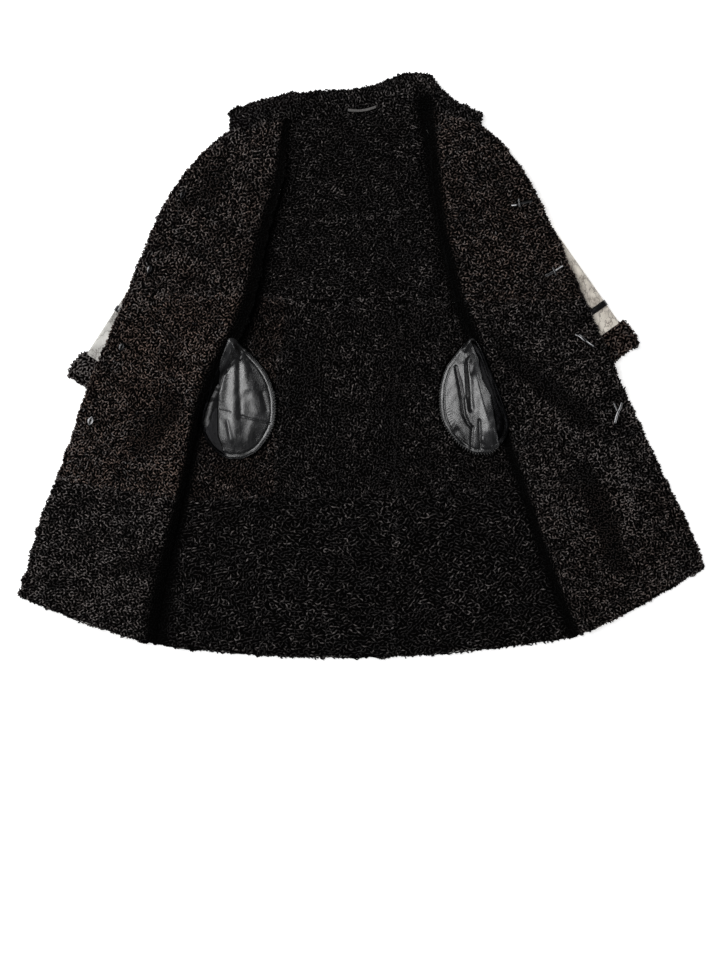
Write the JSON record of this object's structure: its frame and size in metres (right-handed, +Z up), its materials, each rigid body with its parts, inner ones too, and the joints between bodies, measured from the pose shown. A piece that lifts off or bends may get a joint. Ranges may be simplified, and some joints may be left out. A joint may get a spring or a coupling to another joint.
{
  "type": "sheepskin coat",
  "caption": "Long A-line sheepskin coat lying open on its back, curly dark fleece up, with leather pocket bags, thong ties, bound buttonholes and turned-up fleece cuffs.",
  "frame": {"origin": "centre of the coat's box in plan, on the surface that it lies on", "axes": "+Z up out of the surface, +Y from hem to collar, +X to the wearer's left side"},
  "size_m": [1.366, 1.1654, 0.044],
  "materials": {
    "fleece_black": "curly black-grey fleece, soft sheen",
    "fleece_brown": "curly dark brown fleece, soft sheen",
    "fleece_cuff": "brown-grey fleece of the turned-up cuffs",
    "suede": "matt grey-beige distressed suede, the outside of the skins",
    "leather": "glossy black leather",
    "horn": "dark polished horn",
    "tape": "grey woven tape"
  },
  "bodies": {
    "root": {"back_upper": "fleece_black", "back_middle_right": "fleece_black", "back_middle_centre": "fleece_black", "back_middle_left": "fleece_black", "back_lower_right": "fleece_black", "back_lower_centre": "fleece_black", "back_lower_left": "fleece_black", "front_right_upper": "fleece_brown", "front_right_middle": "fleece_brown", "front_left_upper": "fleece_brown", "front_right_lower": "fleece_black", "front_left_middle": "fleece_black", "front_left_lower": "fleece_black", "collar": "fleece_black", "cuff_right": "fleece_cuff", "cuff_left": "fleece_cuff", "sleeve_right": "suede", "sleeve_left": "suede", "strap_right": "leather", "strap_left": "leather", "pocket_right": "leather", "pocket_left": "leather", "pocket_binding_right": "leather", "pocket_binding_left": "leather", "buttonhole_top": "leather", "buttonhole_chest": "leather", "buttonhole_waist": "leather", "buttonhole_hip": "leather", "thong_top": "leather", "thong_chest": "leather", "thong_waist": "leather", "thong_hip": "leather", "thong_end_top": "leather", "thong_end_chest": "leather", "thong_end_waist": "leather", "thong_end_hip": "leather", "button_top": "horn", "button_chest": "horn", "button_waist": "horn", "button_hip": "horn", "hanger_loop": "tape"}
  },
  "joints": []
}
